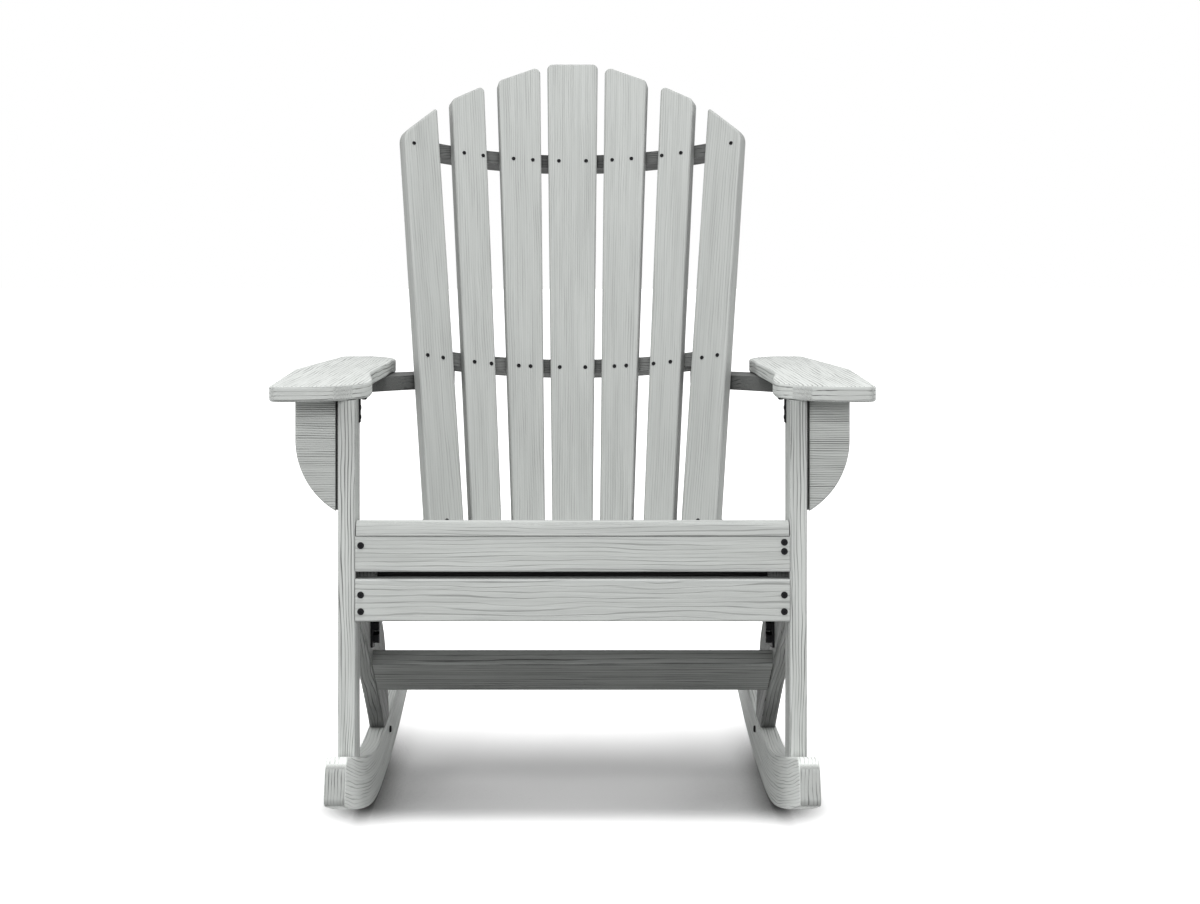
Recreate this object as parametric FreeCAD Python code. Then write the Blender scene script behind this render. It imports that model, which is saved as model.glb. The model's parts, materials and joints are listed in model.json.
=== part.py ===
import FreeCAD, Part
import math
import os
from FreeCAD import Rotation, Vector

# Rocking adirondack chair in millimetres, +Z up, front towards -Y, left is -X.
# The side view is drawn with Y = 0 at the front face of the front legs and Z = 0 at the
# floor. The last step slides everything along Y, so that the origin is below the middle
# of the chair.

# Driving sizes: rockers
rocker_thick = 26.0
rocker_depth = 67.0
rocker_low_y = 312.4          # low point, below the chair's centre of mass
rocker_bend_y = 150.0         # where the middle of the curve meets the flatter front
rocker_middle_radius = 690.0
rocker_front_radius = 3000.0
rocker_top_radius = 9000.0    # flatter upper edge in front, so the nose is less deep
rocker_rear_radius = 2600.0
rocker_front_y = -126.0
rocker_rear_y = 748.0
rocker_nose_round = 20.0
rocker_end_round = 9.0
rocker_head = (10.0, 3.0, 6.0)    # head diameter, head height, shank diameter
rocker_head_share = 0.72          # height of the round heads on the rockers
rocker_head_back = 67.0           # their distance behind the strut's lower edge
rocker_head_bite = 18.0           # length of their shanks

# Driving sizes: side frames
board_thick = 22.0
side_inner_x = 275.0          # plane between the legs and the seat's side rails
leg_depth = 56.0
strut_width = 100.0
strut_top_z = 286.0           # lower corner of the strut at the leg's rear edge
strut_foot_y = 366.0          # lower edge of the strut on the rocker
strut_bow = 14.0
strut_foot_length = 92.0
strut_knee_share = 0.3        # place of the heel's knee along the upper edge, from the foot
strut_knee_rise = 70.0
strut_back_bow = 16.0
strut_heel_bow = 6.0
arm_thick = 20.0
arm_top_z = 597.0

# Driving sizes: seat
seat_slope = 10.5
seat_front_z = 406.0          # top of the side rails, carried forward to Y = 0
side_rail_depth = 90.0
side_rail_rear_y = 506.0
front_slat_height = 46.0
front_gap = 9.0
apron_height = 54.0
seat_slat_thick = 20.0
seat_slat_width = 56.0
seat_slat_gap = 8.0
seat_slat_count = 5
seat_overhang = 1.0
seat_end_gap = 1.0
rear_slat_gap = 5.0
nose_round = 9.0              # rounded front edge of the first seat board
cross_rail_y = 60.0
cross_rail_height = 76.0
rail_bolt_places = (34.0, 76.0)     # behind the leg

# Driving sizes: back
back_lean = 20.0
back_seat_y = 455.0           # front face of the middle slat at the height below
back_seat_z = 410.0
back_radius = 369.0
back_radius_growth = 0.166    # growth of the back's radius along the slats
slat_thick = 22.0
slat_angle_step = 10.3
slat_bottom = -108.0          # lower ends of the slats, along the back
slat_round = 3.5
slat_widths_at_seat = (62.4, 50.3, 47.6, 58.5)
slat_widths_at_600 = (79.6, 67.4, 55.4, 61.7)
slat_inner_tops = (701.0, 696.0, 652.5, 599.0)
slat_outer_tops = (701.0, 666.0, 622.0, 548.0)
slat_inner_rounds = (9.0, 9.0, 7.0, 3.0)
slat_outer_rounds = (9.0, 10.0, 13.0, 28.0)
taper_length = 600.0
rail_thick = 22.0
rail_depth = 28.0
upper_rail_height = 537.0
middle_rail_height = 194.0
lower_rail_height = -70.0
lower_rail_rear = 75.0
lower_rail_front = 46.0
lower_rail_end_front = 22.0   # the ends beside the slats stand back, below the seat's edge
rail_screw_drops = {"upper": 7.0, "middle": 7.0, "lower": -8.0}
# sideways places of the slats' screws as shares of their half width, from the middle slat
# outwards, negative towards the outside of the fan
slat_screw_shares = {
    "upper": ((-0.56, 0.56), (-0.38, 0.57), (-0.42, 0.74), (-0.5,)),
    "middle": ((-0.58, 0.58), (-0.4, 0.26), (-0.36, 0.72), (-0.5, 0.38)),
    "lower": ((-0.5, 0.5), (-0.5, 0.5), (-0.5, 0.5), (0.0,)),
}
rail_end_share = 0.35         # how far the curved rails reach past the outer slats' middle
rail_let_in = 0.8             # how far the rails' curve reaches into the flat slats

# Driving sizes: arms
arm_front_y = -28.0
arm_rear_y = 616.0
arm_outer_front_x = 381.0
arm_side_x = 388.5
arm_side_y = 140.0
arm_widest_x = 396.0
arm_taper_y = 300.0
arm_rear_outer_x = 365.0
arm_paddle_inner_x = 262.0
arm_neck_x = 281.0
arm_neck_y = 262.0
arm_heel_x = 276.0
arm_heel_y = 500.0
arm_front_inner_round = 84.0
arm_front_outer_round = 16.0
arm_heel_round = 42.0
arm_heel_hollow = 7.5         # how far the rounding of the heel stands in from its side
arm_edge_round = 3.0
bracket_width = 57.0
bracket_height = 146.0
bracket_straight = 52.0
bracket_set_back = 20.0
bracket_groove = 5.5          # shadow groove between leg and bracket
bracket_groove_depth = 15.0
bracket_dowel_shares = (0.3, 0.62)
arm_bar_depth = 76.0
arm_bar_outer_x = 344.0
arm_bar_past_block = 4.0
arm_bar_turn = 80.0           # the ring it is cut from reaches past both of its ends
arm_bar_screw_shares = ((0.36, 0.25), (0.62, 0.5))    # across the bar and along it
arm_block_width = 36.0
arm_block_depth = 34.0
arm_block_end_gap = 2.0       # from the block to the end of the middle back rail
block_screw_share = 0.75
block_screw_bite = 26.0

# Driving sizes: stretcher between the struts
stretcher_width = 93.0
stretcher_along = 173.0       # upper edge, measured down the strut's lower edge
stretcher_screw_shares = (0.25, 0.75)

# Driving sizes: steel fittings and fasteners
steel_thick = 3.0
angle_thick = 1.5
angle_width = 14.0
angle_leg = 32.0
corner_plate_width = 30.0
corner_plate_height = 46.0
corner_plate_y = 182.0
corner_bolt_shares = (0.34, 0.7)
corner_bolt_place = 0.45
angle_screw_shares = (0.4, 0.78)
small_screw = (6.0, 1.2, 3.4)       # head diameter, head height, shank diameter
seat_screw = (8.6, 1.4, 4.2)
hex_bolt = (14.0, 8.0, 8.0)
dome_bolt = (17.0, 4.0, 8.0)
small_socket = 2.6
seat_socket = 3.6
socket_share = 0.7                  # depth of a socket as a share of its head
head_round_share = 0.6
washer_diameter = 18.0
washer_thick = 1.6
nut_width = 13.0
nut_height = 6.5
screw_bite = 16.0                   # how far a screw reaches into the second board
arm_screw_bite = 12.0
front_screw_inset = 7.0             # from the side rail's outer face
front_slat_screws = {-1: (0.73,), 1: (0.57, 0.82)}    # shares of the height, left and right
apron_screw_shares = (0.24, 0.63)
seat_screw_inset = 7.0              # from the side rail's inner face
seat_screw_shares = (0.3, 0.7)
bolt_gap = 3.0                      # from the front screws' points to the leg bolts
bolt_end = 2.0                      # how far a bolt stands out of its nut
rail_bolt_rise = 13.5               # from the side rail's lower edge
edge_round = 2.5

# Values worked out from the sizes above
lean = math.radians(back_lean)
slope = math.radians(seat_slope)
up_back = Vector(0, math.sin(lean), math.cos(lean))
back_normal = Vector(0, -math.cos(lean), math.sin(lean))
seat_normal = Vector(0, math.sin(slope), math.cos(slope))
seat_along = Vector(0, math.cos(slope), -math.sin(slope))
across = Vector(1, 0, 0)
leg_outer_x = side_inner_x + board_thick
rail_inner_x = side_inner_x - board_thick
rocker_inner_x = leg_outer_x - board_thick / 2 - rocker_thick / 2
front_slat_bottom = seat_front_z - front_slat_height
apron_top = front_slat_bottom - front_gap
apron_bottom = apron_top - apron_height
arm_under_z = arm_top_z - arm_thick
last_slat = len(slat_widths_at_seat) - 1
slat_indices = range(-last_slat, last_slat + 1)


def yz(y, z):
    """Point of the side view."""
    return Vector(0, y, z)


def line(start, end):
    return Part.LineSegment(start, end).toShape()


def arc(start, middle, end):
    return Part.Arc(start, middle, end).toShape()


def polygon_face(points):
    return Part.Face(Part.makePolygon(points + [points[0]]))


def extrude_x(face, x_from, x_to):
    """Board that fills a side view face from one X to another."""
    board = face.extrude(Vector(x_to - x_from, 0, 0))
    board.translate(Vector(x_from, 0, 0))
    return board


def rounded(board, radius, test):
    """Round the edges for which test is true."""
    edges = [edge for edge in board.Edges if test(edge)]
    return board.makeFillet(radius, edges)


def in_plane(edge, direction, levels):
    """True if the whole edge lies in one of the planes square to a direction."""
    places = [vertex.Point.dot(direction) for vertex in edge.Vertexes]
    middle = edge.valueAt((edge.FirstParameter + edge.LastParameter) / 2).dot(direction)
    return any(all(abs(place - level) < 0.01 for place in places + [middle]) for level in levels)


def round_side_board(board, x_from, x_to):
    return rounded(board, edge_round, lambda edge: in_plane(edge, across, (x_from, x_to)))


def mirrored(shape):
    return shape.mirror(Vector(0, 0, 0), across)


def rocker_turn(y, centre, radius):
    """Angle of a place along an arc of the rocker, from straight down."""
    return math.asin((y - centre.y) / radius)


def rocker_arcs(upper):
    """Front, middle and rear arc of one edge: centre, radius and the places of its ends."""
    depth = rocker_depth if upper else 0.0
    front_radius = rocker_top_radius if upper else rocker_front_radius
    middle_radius = rocker_middle_radius - depth
    centre = yz(rocker_low_y, rocker_middle_radius)
    bend = rocker_turn(rocker_bend_y, centre, rocker_middle_radius)
    out = front_radius - middle_radius
    front_centre = centre + yz(-out * math.sin(bend), out * math.cos(bend))
    bend_y = centre.y + middle_radius * math.sin(bend)
    rear_centre = yz(rocker_low_y, rocker_rear_radius)
    front_turn = rocker_turn(rocker_front_y, front_centre, front_radius)
    rear_turn = rocker_turn(rocker_rear_y, rear_centre, rocker_rear_radius)
    rear_y = rocker_rear_y - depth * math.sin(rear_turn)
    return [
        (front_centre, front_radius, rocker_front_y - depth * math.sin(front_turn), bend_y),
        (centre, middle_radius, bend_y, rocker_low_y),
        (rear_centre, rocker_rear_radius - depth, rocker_low_y, rear_y),
    ]


def rocker_edge_point(y, upper):
    """Point on the lower or the upper edge of the rocker."""
    arcs = rocker_arcs(upper)
    centre, radius = next(((row[0], row[1]) for row in arcs if y <= row[3]), arcs[-1][:2])
    return yz(y, centre.z - math.sqrt(radius ** 2 - (y - centre.y) ** 2))


def rocker_point(y, share):
    """Point between the rocker's edges: 0 on the lower one and 1 on the upper one."""
    low, high = rocker_edge_point(y, False), rocker_edge_point(y, True)
    return low + (high - low) * share


def rocker_top_z(y):
    return rocker_edge_point(y, True).z


def rocker_edges(upper):
    """Tangent arcs of one edge from the front end to the rear end."""
    found = []
    for row in rocker_arcs(upper):
        start, end = row[2], row[3]
        found.append(arc(*[rocker_edge_point(y, upper) for y in (start, (start + end) / 2, end)]))
    return found


def rocker_ends(upper):
    arcs = rocker_arcs(upper)
    return rocker_edge_point(arcs[0][2], upper), rocker_edge_point(arcs[-1][3], upper)


def rocker():
    """Board with tangent arcs: tight in the middle, flatter in front and behind."""
    front, rear = rocker_ends(False)
    top_front, top_rear = rocker_ends(True)
    lower, upper = rocker_edges(False), rocker_edges(True)
    edges = lower + [line(rear, top_rear)] + upper[::-1] + [line(top_front, front)]
    face = Part.Face(Part.Wire(edges))
    x_from = rocker_inner_x
    x_to = rocker_inner_x + rocker_thick
    board = extrude_x(face, x_from, x_to)
    rounds = ((top_front, rocker_nose_round), (front, rocker_end_round), (top_rear, rocker_nose_round))
    for corner, radius in rounds:
        board = rounded(board, radius, lambda edge: abs(edge.tangentAt(0).x) > 0.9
                        and (edge.CenterOfMass - corner).cross(across).Length < 0.1)
    return round_side_board(board, x_from, x_to)


def rocker_space():
    """Everything below the rockers' curved upper edge, for feet that stand on it."""
    first, last = rocker_ends(True)
    low_first, low_last = yz(first.y, -rocker_depth), yz(last.y, -rocker_depth)
    edges = rocker_edges(True)
    edges += [line(last, low_last), line(low_last, low_first), line(low_first, first)]
    return extrude_x(Part.Face(Part.Wire(edges)), -2 * leg_outer_x, 2 * leg_outer_x)


def front_leg():
    low_z = min(rocker_top_z(0), rocker_top_z(leg_depth)) - board_thick
    face = polygon_face([yz(0, low_z), yz(leg_depth, low_z),
                         yz(leg_depth, arm_under_z), yz(0, arm_under_z)])
    board = extrude_x(face, side_inner_x, leg_outer_x)
    board = rounded(board, edge_round, lambda edge: abs(edge.tangentAt(0).z) > 0.9)
    return board.cut(rocker_space())


def strut_lines():
    """Ends of the strut's lower edge, its direction and the direction square to it."""
    low_start = yz(leg_depth, strut_top_z)
    low_end = yz(strut_foot_y, rocker_top_z(strut_foot_y))
    direction = (low_end - low_start).normalize()
    normal = Vector(0, -direction.z, direction.y)
    return low_start, low_end, direction, normal


def rear_strut():
    """Bowed board from the rear edge of the front leg down to the top of the rocker."""
    low_start, low_end, direction, normal = strut_lines()
    fall = math.atan2(-direction.z, direction.y)
    high_start = low_start + yz(0, strut_width / math.cos(fall))
    high_end = low_end + yz(strut_foot_length, -rocker_depth / 2)
    low_end = low_end + yz(rocker_depth / 2 / math.tan(fall), -rocker_depth / 2)
    knee = high_end + (high_start - high_end) * strut_knee_share + normal * strut_knee_rise
    high_mid = (high_start + knee) * 0.5 + normal * strut_back_bow
    heel_mid = (knee + high_end) * 0.5 + (normal + direction) * strut_heel_bow
    edges = [
        arc(low_start, (low_start + low_end) * 0.5 + normal * strut_bow, low_end),
        line(low_end, high_end),
        arc(high_end, heel_mid, knee),
        arc(knee, high_mid, high_start),
        line(high_start, low_start),
    ]
    board = extrude_x(Part.Face(Part.Wire(edges)), side_inner_x, leg_outer_x)
    board = board.cut(rocker_space())
    foot_z = rocker_top_z(strut_foot_y + strut_foot_length) + edge_round
    return rounded(board, edge_round, lambda edge: in_plane(edge, across, (side_inner_x, leg_outer_x))
                   and edge.BoundBox.ZMax > foot_z + edge_round)


def seat_plane_z(y):
    return seat_front_z - y * math.tan(slope)


def rail_plane_z(y):
    """Underside of the lower back rail, which lies across the side rails."""
    centre = back_point(lower_rail_height)
    under = rail_thick / 2 / math.cos(lean)
    return centre.z - (y - centre.y) * math.tan(lean) - under


def lower_rail_end_y():
    """Foremost edge of the lower back rail's ends."""
    front = back_point(lower_rail_height) + back_normal * lower_rail_end_front
    return front.y - rail_thick / 2 * math.sin(lean)


def side_rail():
    """Rail below one end of the seat slats, with a raised shoulder for the lower back rail."""
    depth = side_rail_depth / math.cos(slope)
    shoulder_y = lower_rail_end_y() - rear_slat_gap / 2
    front_z = apron_bottom
    points = [
        yz(board_thick, front_z),
        yz(board_thick, seat_plane_z(board_thick)),
        yz(shoulder_y, seat_plane_z(shoulder_y)),
        yz(shoulder_y, rail_plane_z(shoulder_y)),
        yz(side_rail_rear_y, rail_plane_z(side_rail_rear_y)),
        yz(side_rail_rear_y, seat_plane_z(side_rail_rear_y) - depth),
    ]
    board = extrude_x(polygon_face(points), rail_inner_x, side_inner_x)
    lower = seat_plane_z(0)
    return rounded(board, edge_round, lambda edge: in_plane(edge, across, (rail_inner_x, side_inner_x))
                   and edge.CenterOfMass.z < lower - side_rail_depth * 0.8)


def box_board(x_from, x_to, y_from, y_to, z_from, z_to):
    size = (x_to - x_from, y_to - y_from, z_to - z_from)
    board = Part.makeBox(*size, Vector(x_from, y_from, z_from))
    return rounded(board, edge_round, lambda edge: abs(edge.tangentAt(0).x) > 0.9)


def seat_front_slat():
    """Front board whose top follows the slope below the first seat board."""
    points = [yz(0, front_slat_bottom), yz(board_thick, front_slat_bottom),
              yz(board_thick, seat_plane_z(board_thick)), yz(0, seat_front_z)]
    board = extrude_x(polygon_face(points), -side_inner_x, side_inner_x)
    return rounded(board, edge_round, lambda edge: abs(edge.tangentAt(0).x) > 0.9)


def seat_cross_rail():
    """Rail between the side rails that closes the view through the gap in front."""
    rear_y = cross_rail_y + board_thick
    low_z = seat_plane_z(rear_y) - cross_rail_height
    points = [yz(cross_rail_y, low_z), yz(rear_y, low_z),
              yz(rear_y, seat_plane_z(rear_y)), yz(cross_rail_y, seat_plane_z(cross_rail_y))]
    return extrude_x(polygon_face(points), -rail_inner_x, rail_inner_x)


def front_apron():
    return box_board(-side_inner_x, side_inner_x, 0, board_thick, apron_bottom, apron_top)


def seat_board(start, width, round_front):
    """Board that lies across the side rails, from a distance along them."""
    half = side_inner_x - seat_end_gap
    corner = yz(0, seat_front_z) + seat_along * start
    points = [corner, corner + seat_along * width,
              corner + seat_along * width + seat_normal * seat_slat_thick,
              corner + seat_normal * seat_slat_thick]
    board = extrude_x(polygon_face(points), -half, half)
    top_front = points[3]
    front_size = nose_round if round_front else edge_round

    def along_x(edge):
        return abs(edge.tangentAt(0).x) > 0.9

    def is_front(edge):
        return (edge.CenterOfMass - Vector(0, top_front.y, top_front.z)).Length < half / 2

    board = rounded(board, front_size, lambda edge: along_x(edge) and is_front(edge)
                    and abs(edge.CenterOfMass.z - top_front.z) < 0.1)
    return board


def seat_slat(index):
    start = index * (seat_slat_width + seat_slat_gap) - seat_overhang
    return seat_board(start, seat_slat_width, index == 0)


def back_point(height):
    """Front face of the middle slat at a distance along the back."""
    return yz(back_seat_y, back_seat_z) + up_back * height


def back_radius_at(height):
    return back_radius + back_radius_growth * height


def slat_axes(index):
    """Foot, sideways, backward and lengthwise directions of one slat, 0 in the middle."""
    angle = math.radians(slat_angle_step * index)
    outward = back_normal * (1 - math.cos(angle)) + across * math.sin(angle)
    foot = back_point(0) + outward * back_radius_at(0)
    length_way = (up_back + outward * back_radius_growth).normalize()
    side_way = across * math.cos(angle) + back_normal * math.sin(angle)
    back_way = length_way.cross(side_way).normalize()
    if back_way.dot(back_normal) > 0:
        back_way = back_way * -1
    return foot, side_way, back_way, length_way


def place_on_slat(shape, index):
    """Move a shape from slat coordinates (sideways, backward, lengthwise) to the chair."""
    foot, side_way, back_way, length_way = slat_axes(index)
    turn = Rotation(side_way, back_way, length_way, "ZXY")
    shape = shape.copy()
    shape.Placement = FreeCAD.Placement(foot, turn).multiply(shape.Placement)
    return shape


def slat_half_width(index, height):
    kind = abs(index)
    low, high = slat_widths_at_seat[kind], slat_widths_at_600[kind]
    return (low + (high - low) * height / taper_length) / 2


def slat_stretch(index):
    """Length along a slat for one millimetre of height along the back."""
    angle = math.radians(slat_angle_step * index)
    outward = back_normal * (1 - math.cos(angle)) + across * math.sin(angle)
    return (up_back + outward * back_radius_growth).Length


def back_slat(index):
    """Tapered board with a top that slants down towards the outside of the fan."""
    kind = abs(index)
    outside = 1 if index >= 0 else -1
    stretch = slat_stretch(index)
    inner_top, outer_top = slat_inner_tops[kind], slat_outer_tops[kind]
    corners = [
        Vector(-outside * slat_half_width(index, slat_bottom), 0, slat_bottom * stretch),
        Vector(outside * slat_half_width(index, slat_bottom), 0, slat_bottom * stretch),
        Vector(outside * slat_half_width(index, outer_top), 0, outer_top * stretch),
        Vector(-outside * slat_half_width(index, inner_top), 0, inner_top * stretch),
    ]
    board = polygon_face(corners).extrude(Vector(0, slat_thick, 0))
    rounds = ((corners[2], slat_outer_rounds[kind]), (corners[3], slat_inner_rounds[kind]))
    for corner, radius in rounds:
        board = rounded(board, radius, lambda edge: abs(edge.tangentAt(0).y) > 0.9
                        and (edge.CenterOfMass - corner).Length < slat_thick)
    board = rounded(board, slat_round, lambda edge: in_plane(edge, Vector(0, 1, 0), (0, slat_thick))
                    and edge.CenterOfMass.z > slat_bottom * stretch + 1)
    return place_on_slat(board, index)


def rail_placement(height):
    turn = Rotation(across, back_normal * -1, up_back, "ZXY")
    return FreeCAD.Placement(back_point(height), turn)


def arc_board(radius_in, radius_out, end_angle, thick):
    """Flat board between two circles, drawn with its middle at the origin's +Y side."""
    end = math.radians(end_angle)

    def at(radius, angle):
        return Vector(radius * math.sin(angle), radius * math.cos(angle), 0)

    edges = [
        arc(at(radius_in, -end), at(radius_in, 0), at(radius_in, end)),
        line(at(radius_in, end), at(radius_out, end)),
        arc(at(radius_out, end), at(radius_out, 0), at(radius_out, -end)),
        line(at(radius_out, -end), at(radius_in, -end)),
    ]
    return Part.Face(Part.Wire(edges)).extrude(Vector(0, 0, thick))


def rail_end_angle(height):
    """Angle from the middle to the end of a curved rail, in degrees."""
    past = rail_end_share * slat_half_width(last_slat, height) / back_radius_at(height)
    return last_slat * slat_angle_step + math.degrees(past)


def curved_rail(height, slats):
    """Curved board behind the slats, square to the back, with a flat for each slat."""
    radius = back_radius_at(height)
    inner = radius + slat_thick - rail_let_in
    board = arc_board(inner, inner + rail_depth, rail_end_angle(height), rail_thick)
    board = rounded(board, edge_round, lambda edge: edge.Length > rail_depth * 2
                    and edge.BoundBox.YMax > inner + rail_depth / 2)
    board.translate(Vector(0, -radius, -rail_thick / 2))
    board.Placement = rail_placement(height).multiply(board.Placement)
    return board.cut(slats)


def lower_rail_blank():
    """Wide board across the side rails, hollowed in front for the foot of the back."""
    radius = back_radius_at(lower_rail_height)
    half = side_inner_x - seat_end_gap
    inner = radius + slat_thick - rail_let_in
    board = Part.makeBox(2 * half, lower_rail_rear + lower_rail_front, rail_thick,
                         Vector(-half, -lower_rail_front, -rail_thick / 2))
    board = rounded(board, edge_round, lambda edge: abs(edge.tangentAt(0).x) > 0.9
                    and edge.CenterOfMass.y > 0)
    hollow = Part.makeCylinder(inner, 2 * rail_thick, Vector(0, -radius, -rail_thick))
    turn = math.radians(last_slat * slat_angle_step)
    shoulder = (radius + slat_thick) * math.sin(turn) + slat_half_width(last_slat, 0) * math.cos(turn)
    shoulder += seat_end_gap
    stand_back = Part.makeBox(half, lower_rail_front, 2 * rail_thick,
                              Vector(shoulder, -lower_rail_front - lower_rail_end_front, -rail_thick))
    board = board.cut([hollow, stand_back, mirrored(stand_back)])
    board.Placement = rail_placement(lower_rail_height).multiply(board.Placement)
    return board


def slat_zone(index, clearance):
    """Space that a slat needs at the seat, with room in front of it and all behind it."""
    low, high = slat_bottom * 2, middle_rail_height
    half = slat_half_width(index, high) + seat_slat_gap
    space = Part.makeBox(2 * half, lower_rail_rear * 3, high - low, Vector(-half, -clearance, low))
    return place_on_slat(space, index)


def seat_rear_slat():
    """Last board of the seat, hollowed to follow the fan of the back."""
    start = seat_slat_count * (seat_slat_width + seat_slat_gap) - seat_overhang
    end_y = lower_rail_end_y() - rear_slat_gap - seat_slat_thick * math.sin(slope)
    ends = seat_board(start, end_y / math.cos(slope) - start, False)
    reach = back_seat_y / math.cos(slope) - start
    half = back_radius * math.sin(math.radians(last_slat * slat_angle_step))
    middle = Part.makeBox(2 * half, 2 * back_seat_y, seat_front_z, Vector(-half, 0, 0))
    board = ends.fuse(seat_board(start, reach, False).common(middle)).removeSplitter()
    zones = [slat_zone(index, rear_slat_gap) for index in slat_indices]
    behind = lower_rail_blank()
    behind.translate(yz(-seat_end_gap, 0))
    return largest_solid(board.cut(zones + [behind]))


def largest_solid(shape):
    return max(shape.Solids, key=lambda solid: solid.Volume)


def arm():
    """Paddle with a waist: rounded front, hollow inner side and tapered rear."""
    def top(x, y):
        return Vector(x, y, arm_under_z)

    inner_round_end = top(arm_paddle_inner_x, arm_front_y + arm_front_inner_round)
    inner_round_start = top(arm_paddle_inner_x + arm_front_inner_round, arm_front_y)
    turn = arm_front_inner_round * (1 - math.sqrt(0.5))
    inner_round_mid = top(arm_paddle_inner_x + turn, arm_front_y + turn)
    outer_corner = top(arm_outer_front_x, arm_front_y)
    outer_mid = top(arm_side_x, arm_side_y)
    outer_end = top(arm_widest_x, arm_taper_y)
    rear_outer = top(arm_rear_outer_x, arm_rear_y)
    rear_inner = top(arm_heel_x + arm_heel_round, arm_rear_y)
    heel = top(arm_heel_x, arm_heel_y)
    heel_mid = top(arm_heel_x + arm_heel_hollow, arm_rear_y - arm_heel_round)
    inner = Part.BSplineCurve()
    inner.interpolate(Points=[inner_round_end, top(arm_neck_x, arm_neck_y), heel],
                      Tangents=[Vector(0, 1, 0), Vector(0, 1, 0), Vector(0, 1, 0)],
                      TangentFlags=[True, True, True])
    edges = [
        line(inner_round_start, outer_corner),
        arc(outer_corner, outer_mid, outer_end),
        line(outer_end, rear_outer),
        line(rear_outer, rear_inner),
        arc(rear_inner, heel_mid, heel),
        inner.toShape(),
        arc(inner_round_end, inner_round_mid, inner_round_start),
    ]
    face = Part.Face(Part.Wire(Part.sortEdges(edges)[0]))
    board = face.extrude(Vector(0, 0, arm_thick))
    corners = ((outer_corner, arm_front_outer_round), (rear_outer, arm_front_outer_round))
    for corner, radius in corners:
        board = rounded(board, radius, lambda edge: abs(edge.tangentAt(0).z) > 0.9
                        and (edge.CenterOfMass - corner).Length < arm_thick)
    levels = (arm_under_z, arm_top_z)
    return rounded(board, arm_edge_round, lambda edge: in_plane(edge, Vector(0, 0, 1), levels))


def arm_bracket():
    """Board below the arm on the outside of the leg, with a curved outer edge."""
    def front(x, z):
        return Vector(x, bracket_set_back, z)

    outer_x = leg_outer_x + bracket_width
    bottom_z = arm_under_z - bracket_height
    knee_z = arm_under_z - bracket_straight
    height = knee_z - bottom_z
    radius = (bracket_width ** 2 + height ** 2) / (2 * bracket_width)
    half_angle = math.asin(height / radius) / 2
    middle_x = outer_x - radius + radius * math.cos(half_angle)
    middle = front(middle_x, knee_z - radius * math.sin(half_angle))
    edges = [
        line(front(leg_outer_x, arm_under_z), front(outer_x, arm_under_z)),
        line(front(outer_x, arm_under_z), front(outer_x, knee_z)),
        arc(front(outer_x, knee_z), middle, front(leg_outer_x, bottom_z)),
        line(front(leg_outer_x, bottom_z), front(leg_outer_x, arm_under_z)),
    ]
    board = Part.Face(Part.Wire(edges)).extrude(Vector(0, board_thick, 0))
    groove = Part.makeBox(bracket_groove, bracket_groove_depth, 2 * bracket_height,
                          Vector(leg_outer_x, bracket_set_back, bottom_z - bracket_height / 2))
    board = board.cut(groove)
    levels = (bracket_set_back, bracket_set_back + board_thick)
    return rounded(board, edge_round, lambda edge: in_plane(edge, Vector(0, 1, 0), levels)
                   and edge.BoundBox.XMax > leg_outer_x + 2 * bracket_groove
                   and edge.CenterOfMass.z < arm_under_z - 1)


def level_back_radius():
    """Radius and centre of the slats' backs at the height of the arms' underside."""
    height = (arm_under_z - back_seat_z) / math.cos(lean)
    return back_radius_at(height), back_point(height).y


def arm_block_span():
    """Inner and outer side of the block below the end of the middle back rail."""
    end = math.radians(rail_end_angle(middle_rail_height))
    outer = (back_radius_at(middle_rail_height) + slat_thick) * math.sin(end) - arm_block_end_gap
    return outer - arm_block_width, outer


def arm_rear_bar(slats):
    """Curved board below the rear of one arm that reaches behind the outer slat."""
    radius, front_y = level_back_radius()
    inner = radius + slat_thick
    board = arc_board(inner, inner + arm_bar_depth, arm_bar_turn, board_thick)
    board.translate(Vector(0, front_y - radius, arm_under_z - board_thick))
    inner_x = arm_block_span()[0] - arm_bar_past_block
    keep = Part.makeBox(arm_bar_outer_x - inner_x, arm_rear_y * 2, arm_under_z, Vector(inner_x, 0, 0))
    board = largest_solid(board.common(keep))
    low_level = arm_under_z - board_thick
    board = rounded(board, edge_round, lambda edge: in_plane(edge, Vector(0, 0, 1), (low_level,)))
    return board.cut(slats)


def arm_block_front_y():
    radius, front_y = level_back_radius()
    return front_y - radius + math.sqrt((radius + slat_thick) ** 2 - arm_block_span()[1] ** 2)


def arm_rear_block(slats):
    """Tapered block between the arm's rear bar and the end of the middle back rail."""
    inner_x, outer_x = arm_block_span()
    start_y = arm_block_front_y()
    centre = back_point(middle_rail_height)
    under = rail_thick / 2 / math.cos(lean)

    def plane_z(y):
        return centre.z - (y - centre.y) * math.tan(lean) - under

    end_y = start_y + arm_block_depth
    points = [yz(start_y, arm_under_z), yz(end_y, arm_under_z), yz(end_y, plane_z(end_y)),
              yz(start_y, plane_z(start_y))]
    block = extrude_x(polygon_face(points), inner_x, outer_x)
    return largest_solid(block.cut(slats))


def stretcher_frame():
    """Upper corner, way down and inward normal of the board between the struts."""
    low_start, low_end, direction, normal = strut_lines()
    share = stretcher_along / (low_end - low_start).Length
    bow = strut_bow * 4 * share * (1 - share)
    return low_start + direction * stretcher_along + normal * bow, direction, normal


def stretcher():
    """Board between the struts, flush with their lower edges."""
    corner, direction, normal = stretcher_frame()
    points = [corner, corner + direction * stretcher_width,
              corner + direction * stretcher_width + normal * board_thick,
              corner + normal * board_thick]
    board = extrude_x(polygon_face(points), -side_inner_x, side_inner_x)
    return rounded(board, edge_round, lambda edge: abs(edge.tangentAt(0).x) > 0.9)


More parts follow.
